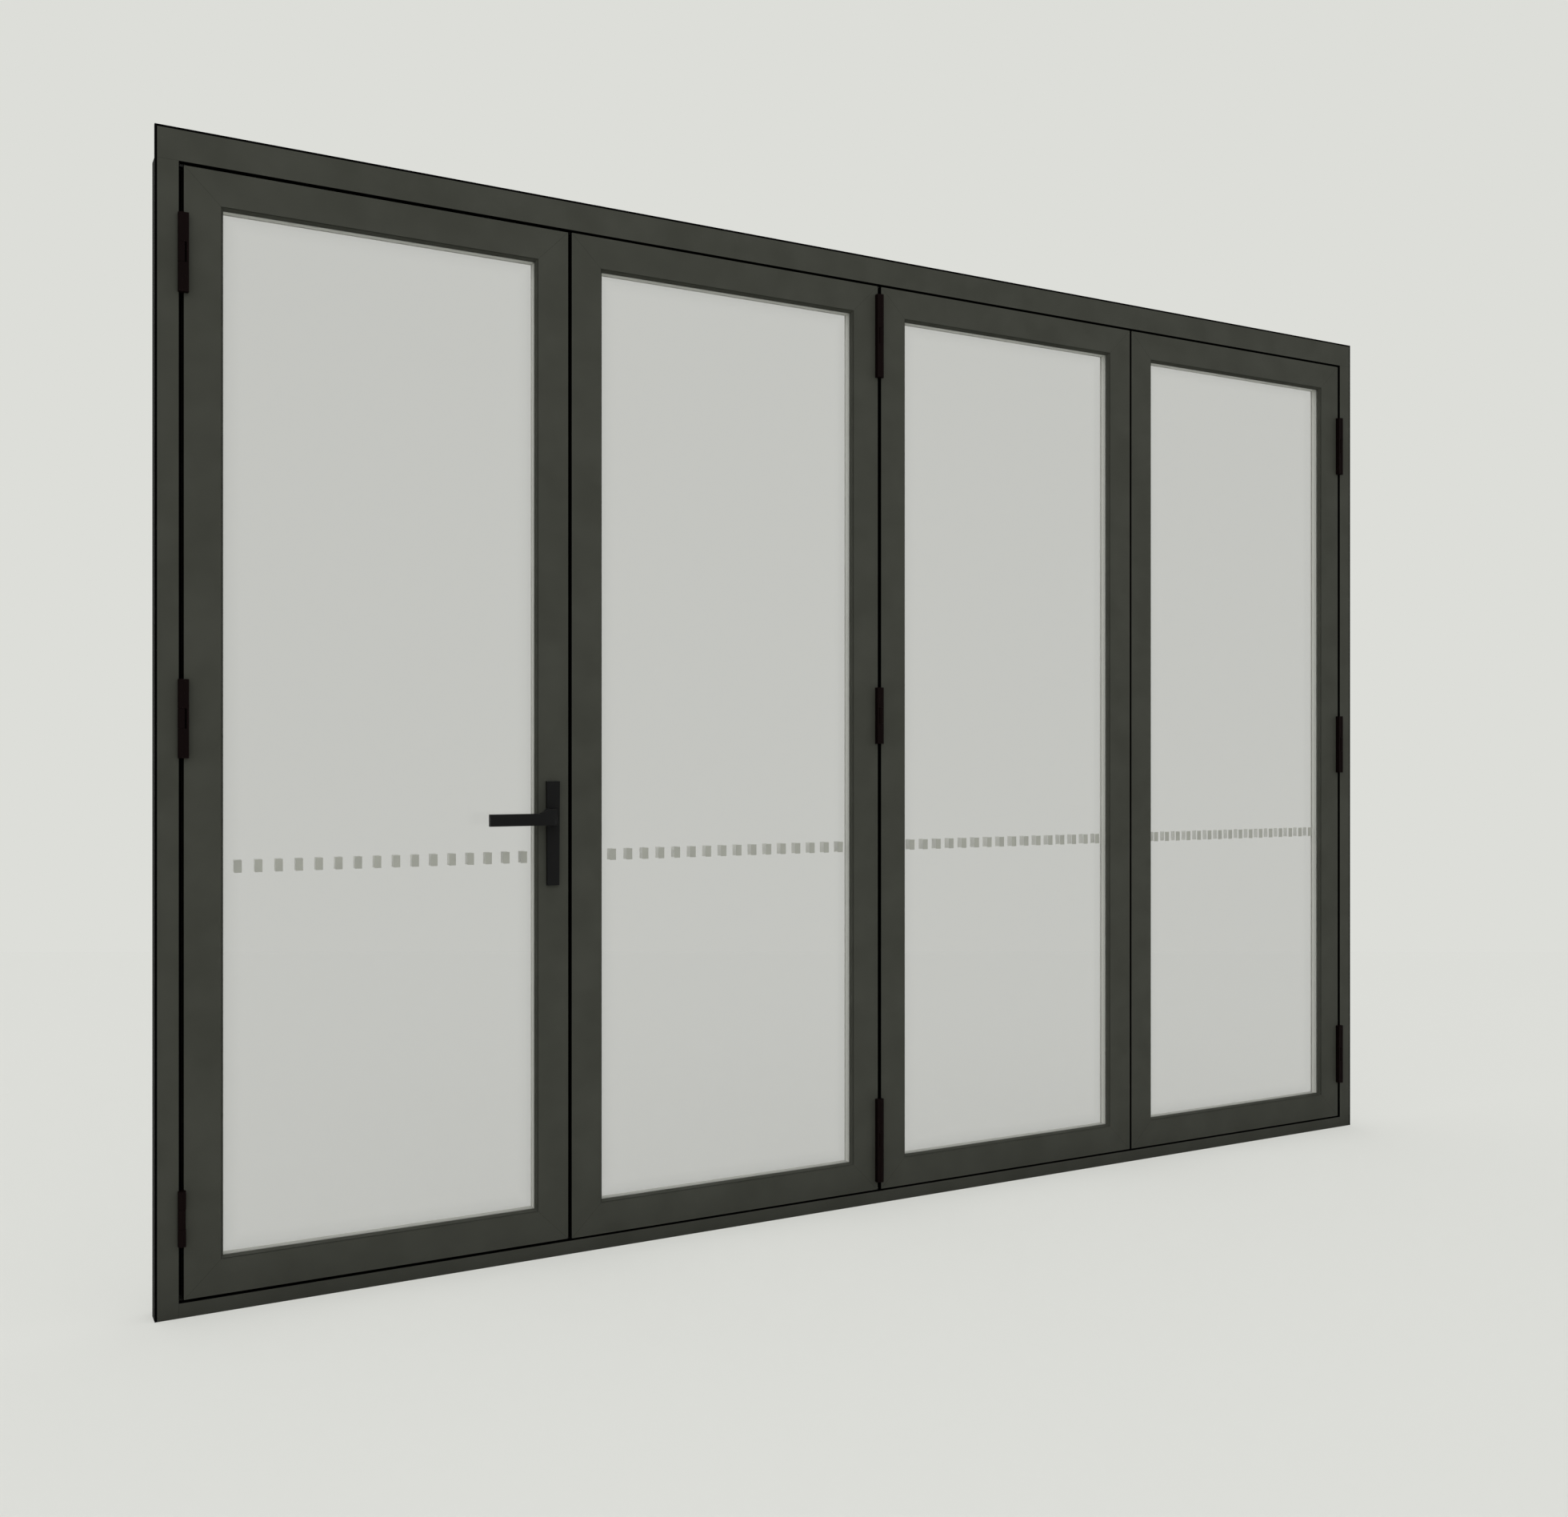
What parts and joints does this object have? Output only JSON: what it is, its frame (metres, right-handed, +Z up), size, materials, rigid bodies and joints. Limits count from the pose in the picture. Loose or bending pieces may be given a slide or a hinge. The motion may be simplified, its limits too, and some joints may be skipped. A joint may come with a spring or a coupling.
{
  "type": "bifold door",
  "caption": "Glazed aluminium bifold door set in its frame, with a hinged access leaf, lever handle and folding leaves.",
  "frame": {"origin": "middle of the sill's underside, halfway through the frame's depth", "axes": "+X to the viewer's right along the frame, +Y from the outer face towards the room, +Z up"},
  "size_m": [3.425, 0.146, 2.4],
  "materials": {
    "grey_powder_coat": "satin powder coat",
    "mill_aluminium": "mill",
    "plated_steel": "zinc plated",
    "spacer_bar": "satin",
    "insulating_strip": "matt",
    "black_seal": "matt",
    "glazing_seal": "matt",
    "dark_hinge": "satin powder coat",
    "black_handle": "satin powder coat",
    "glass": "clear"
  },
  "bodies": {
    "frame": {"head_frame": "grey_powder_coat", "sill_frame": "grey_powder_coat", "left_jamb": "grey_powder_coat", "right_jamb": "grey_powder_coat", "head_track": "mill_aluminium", "frame_breaks": "insulating_strip", "edge_seal": "black_seal", "stop_seals": "black_seal", "leaf_2_left_stile": "grey_powder_coat", "leaf_2_right_stile": "grey_powder_coat", "leaf_2_top_rail": "grey_powder_coat", "leaf_2_bottom_rail": "grey_powder_coat", "leaf_3_left_stile": "grey_powder_coat", "leaf_3_right_stile": "grey_powder_coat", "leaf_3_top_rail": "grey_powder_coat", "leaf_3_bottom_rail": "grey_powder_coat", "leaf_4_left_stile": "grey_powder_coat", "leaf_4_right_stile": "grey_powder_coat", "leaf_4_top_rail": "grey_powder_coat", "leaf_4_bottom_rail": "grey_powder_coat", "folding_leaf_glass": "glass", "folding_leaf_breaks": "insulating_strip", "folding_leaf_spacers": "spacer_bar", "folding_leaf_beads": "grey_powder_coat", "folding_leaf_seals": "glazing_seal", "seam_seals": "black_seal", "meeting_stop": "grey_powder_coat", "jamb_hinge_knuckles": "dark_hinge", "outer_fold_hinges": "dark_hinge", "inner_fold_hinges": "dark_hinge", "end_jamb_hinges": "dark_hinge", "lock_keep": "plated_steel", "roller_carrier": "plated_steel", "guide_pin": "plated_steel"},
    "access_leaf": {"leaf_1_left_stile": "grey_powder_coat", "leaf_1_right_stile": "grey_powder_coat", "leaf_1_top_rail": "grey_powder_coat", "leaf_1_bottom_rail": "grey_powder_coat", "access_leaf_glass": "glass", "access_leaf_breaks": "insulating_strip", "access_leaf_spacer": "spacer_bar", "access_leaf_beads": "grey_powder_coat", "access_leaf_seals": "glazing_seal", "access_leaf_hinges": "dark_hinge", "handle_plates": "black_handle", "lock_face_plate": "plated_steel"},
    "lever": {"outer_lever": "black_handle", "inner_lever": "black_handle"}
  },
  "joints": [
    {"name": "access_leaf_swing", "type": "hinge", "parent": "frame", "child": "access_leaf", "pos_m": [-1.66255, -0.0415, 0], "axis": [0, 0, -1], "range_deg": [0, 170]},
    {"name": "lever_turn", "type": "hinge", "parent": "access_leaf", "child": "lever", "pos_m": [-0.87515, -0.035, 0.9925], "axis": [0, -1, 0], "range_deg": [0, 40], "stiffness_Nm_per_rad": 1.5, "springref_deg": -28.65}
  ]
}
